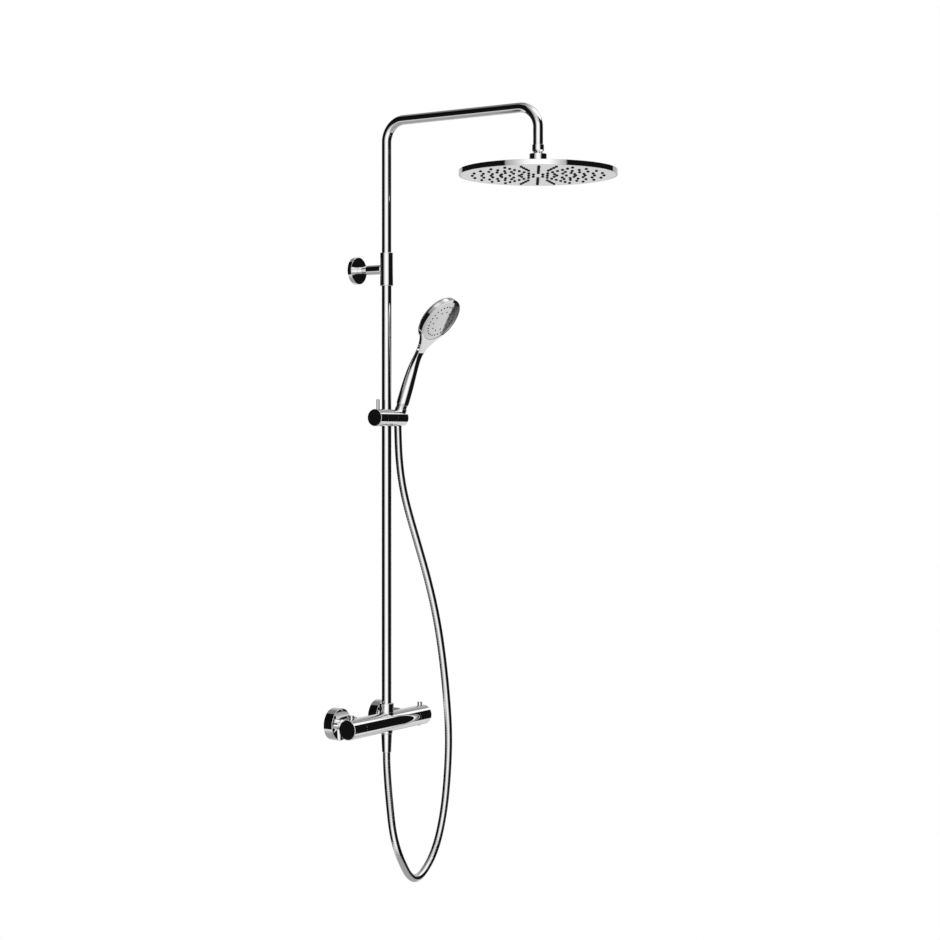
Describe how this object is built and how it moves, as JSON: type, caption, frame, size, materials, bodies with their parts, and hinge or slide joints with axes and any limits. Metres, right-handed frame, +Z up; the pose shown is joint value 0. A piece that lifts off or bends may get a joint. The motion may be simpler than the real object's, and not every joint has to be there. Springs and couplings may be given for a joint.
{
  "type": "rainfall shower column",
  "caption": "Wall-mounted shower column: bar thermostat mixer, round riser with swan-neck arm and large rain head, sliding tilting holder, hand shower and hose.",
  "frame": {"origin": "on the wall plane, midway between the hot and cold inlet axes, level with the bar mixer", "axes": "+Z up along the riser, +Y into the wall, +X to the right along the bar for someone facing the wall"},
  "size_m": [0.3, 0.587, 1.5223],
  "materials": {
    "chrome": "polished chrome plate",
    "brass": "machined brass and copper",
    "stainless_steel": "plain stainless steel",
    "rubber": "black sealing rubber",
    "white_plastic": "moulded acetal",
    "ceramic": "lapped ceramic",
    "grey_plastic": "light grey satin spray face",
    "silicone": "dark grey silicone nozzles",
    "hose_cover": "interlocked chromed metal hose, satin bright"
  },
  "bodies": {
    "column": {"valve_body": "chrome", "cold_filter_washer": "rubber", "cold_inlet_connector": "brass", "cold_union_nut": "chrome", "cold_rosette": "chrome", "hot_filter_washer": "rubber", "hot_inlet_connector": "brass", "hot_union_nut": "chrome", "hot_rosette": "chrome", "thermostat_cartridge": "white_plastic", "thermostat_retaining_nut": "brass", "diverter_fixed_disc": "ceramic", "diverter_cartridge": "white_plastic", "diverter_retaining_nut": "brass", "riser_seal": "rubber", "riser_nut": "chrome", "lower_riser_tube": "chrome", "tube_spigot": "brass", "upper_spigot_oring": "rubber", "lower_spigot_oring": "rubber", "wall_bracket": "chrome", "bracket_grub_screw": "stainless_steel", "wall_plate": "stainless_steel", "upper_wall_screw": "stainless_steel", "lower_wall_screw": "stainless_steel", "wall_rosette": "chrome", "hose_lower_nut": "chrome", "hose_lower_washer": "rubber", "shower_hose": "hose_cover"},
    "temperature_handle": {"temperature_handle": "chrome", "temperature_grub_screw": "stainless_steel", "thermostat_spindle": "brass", "temperature_button_spring": "stainless_steel"},
    "temperature_button": {"temperature_stop_button": "chrome"},
    "thermostat_element": {"wax_element": "brass"},
    "flow_handle": {"flow_handle": "chrome", "diverter_spindle": "ceramic", "flow_button_spring": "stainless_steel"},
    "flow_button": {"flow_stop_button": "chrome"},
    "swivel_arm": {"upper_riser_tube": "chrome", "ball_stem": "chrome"},
    "head_gimbal": {"ball_seat_ring": "white_plastic"},
    "rain_head": {"swivel_nut": "chrome", "head_top_shell": "chrome", "head_spray_plate": "grey_plastic", "nozzle_mat": "silicone"},
    "slider_sleeve": {"slider_bush": "white_plastic"},
    "slider": {"slider_body": "chrome", "holder_axle": "stainless_steel"},
    "slider_knob": {"slider_knob": "chrome", "clamp_screw": "stainless_steel", "knob_lever": "chrome"},
    "holder": {"hose_holder": "chrome"},
    "hose_end": {"hose_upper_nut": "chrome"},
    "handset": {"handset_body": "chrome", "hose_upper_washer": "rubber"},
    "spray_face": {"handset_spray_face": "grey_plastic", "handset_valve_disc": "white_plastic"}
  },
  "joints": [
    {"name": "temperature_turn", "type": "hinge", "parent": "column", "child": "temperature_handle", "pos_m": [0.113, -0.076, 0], "axis": [1, 0, 0], "range_deg": [-150, 60]},
    {"name": "temperature_stop_press", "type": "slide", "parent": "temperature_handle", "child": "temperature_button", "axis": [0, 0, -1], "range_m": [0, 0.003], "stiffness_N_per_m": 300, "springref_m": -0.002, "deforming": ["temperature_button_spring"]},
    {"name": "thermostat_travel", "type": "slide", "parent": "column", "child": "thermostat_element", "axis": [1, 0, 0], "range_m": [-0.0025, 0.0012]},
    {"name": "flow_turn", "type": "hinge", "parent": "column", "child": "flow_handle", "pos_m": [-0.113, -0.076, 0], "axis": [1, 0, 0], "range_deg": [-90, 90]},
    {"name": "flow_stop_press", "type": "slide", "parent": "flow_handle", "child": "flow_button", "axis": [0, 0, -1], "range_m": [0, 0.003], "stiffness_N_per_m": 300, "springref_m": -0.002, "deforming": ["flow_button_spring"]},
    {"name": "arm_swivel", "type": "hinge", "parent": "column", "child": "swivel_arm", "pos_m": [0, -0.076, 0.897], "axis": [0, 0, 1], "range_deg": [-45, 45]},
    {"name": "head_tilt_forward", "type": "hinge", "parent": "swivel_arm", "child": "head_gimbal", "pos_m": [0, -0.424, 1.088], "axis": [1, 0, 0], "range_deg": [-10, 10]},
    {"name": "head_tilt_sideways", "type": "hinge", "parent": "head_gimbal", "child": "rain_head", "pos_m": [0, -0.424, 1.088], "axis": [0, 1, 0], "range_deg": [-10, 10]},
    {"name": "slider_travel", "type": "slide", "parent": "column", "child": "slider_sleeve", "axis": [0, 0, 1], "range_m": [-0.42, 0.24], "deforming": ["shower_hose"]},
    {"name": "slider_swivel", "type": "hinge", "parent": "slider_sleeve", "child": "slider", "pos_m": [0, -0.076, 0.6035], "axis": [0, 0, 1], "range_deg": [-45, 45]},
    {"name": "knob_turn", "type": "hinge", "parent": "slider", "child": "slider_knob", "pos_m": [-0.0295, -0.076, 0.6035], "axis": [1, 0, 0], "range_deg": [0, 90]},
    {"name": "holder_tilt", "type": "hinge", "parent": "slider", "child": "holder", "pos_m": [0.041, -0.076, 0.6035], "axis": [1, 0, 0], "range_deg": [0, 40]},
    {"name": "handset_lift", "type": "slide", "parent": "holder", "child": "hose_end", "axis": [0, -0.3355, 0.9421], "range_m": [0, 0.06]},
    {"name": "handset_turn", "type": "hinge", "parent": "hose_end", "child": "handset", "pos_m": [0.041, -0.076, 0.6035], "axis": [0, -0.3355, 0.9421], "range_deg": [-90, 90]},
    {"name": "spray_select", "type": "hinge", "parent": "handset", "child": "spray_face", "pos_m": [0.041, -0.17366, 0.79727], "axis": [0, -0.788, -0.6157], "range_deg": [0, 60]}
  ],
  "couplings": [
    {"joint": "thermostat_travel", "follows": "temperature_turn", "m_per_rad": 0.0008}
  ]
}
